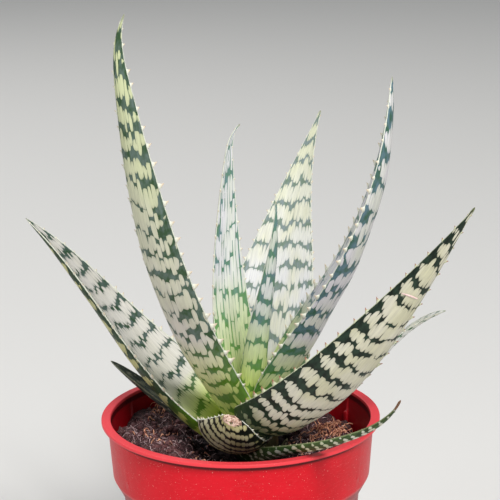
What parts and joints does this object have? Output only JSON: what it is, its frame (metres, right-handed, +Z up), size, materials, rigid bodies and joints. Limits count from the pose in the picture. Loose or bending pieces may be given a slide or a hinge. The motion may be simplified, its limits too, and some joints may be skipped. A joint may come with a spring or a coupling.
{
  "type": "potted bronze lizard aloe",
  "caption": "Rosette of long toothed channelled leaves, cream with dark green bands, rooted in soil in a round plastic nursery pot.",
  "frame": {"origin": "centre of the pot's flat underside, on the surface it stands on", "axes": "+Z up out of the pot, the front of the plant faces -Y, +X to its right seen from the front"},
  "size_m": [0.1465, 0.167, 0.2431],
  "materials": {
    "pot_plastic": "semi-gloss moulded red plastic",
    "potting_soil": "loose damp potting mix with coir fibre",
    "stem_tissue": "matte plant tissue",
    "leaf_heart_skin": "waxy satin leaf",
    "leaf_back_left_skin": "waxy satin leaf",
    "leaf_back_broad_skin": "waxy satin leaf",
    "leaf_tall_right_skin": "waxy satin leaf",
    "leaf_tall_left_skin": "waxy satin leaf",
    "leaf_front_right_skin": "waxy satin leaf",
    "leaf_low_left_skin": "waxy satin leaf",
    "leaf_front_stub_skin": "waxy satin leaf with a dried tip",
    "leaf_old_left_skin": "dull old leaf",
    "leaf_low_right_skin": "waxy satin leaf",
    "leaf_over_rim_skin": "waxy satin leaf",
    "leaf_hidden_back_skin": "waxy satin leaf"
  },
  "bodies": {
    "root": {"pot": "pot_plastic", "soil": "potting_soil", "stem": "stem_tissue", "leaf_heart": "leaf_heart_skin", "leaf_back_left": "leaf_back_left_skin", "leaf_back_broad": "leaf_back_broad_skin", "leaf_tall_right": "leaf_tall_right_skin", "leaf_tall_left": "leaf_tall_left_skin", "leaf_front_right": "leaf_front_right_skin", "leaf_low_left": "leaf_low_left_skin", "leaf_front_stub": "leaf_front_stub_skin", "leaf_old_left": "leaf_old_left_skin", "leaf_low_right": "leaf_low_right_skin", "leaf_over_rim": "leaf_over_rim_skin", "leaf_hidden_back": "leaf_hidden_back_skin"}
  },
  "joints": []
}
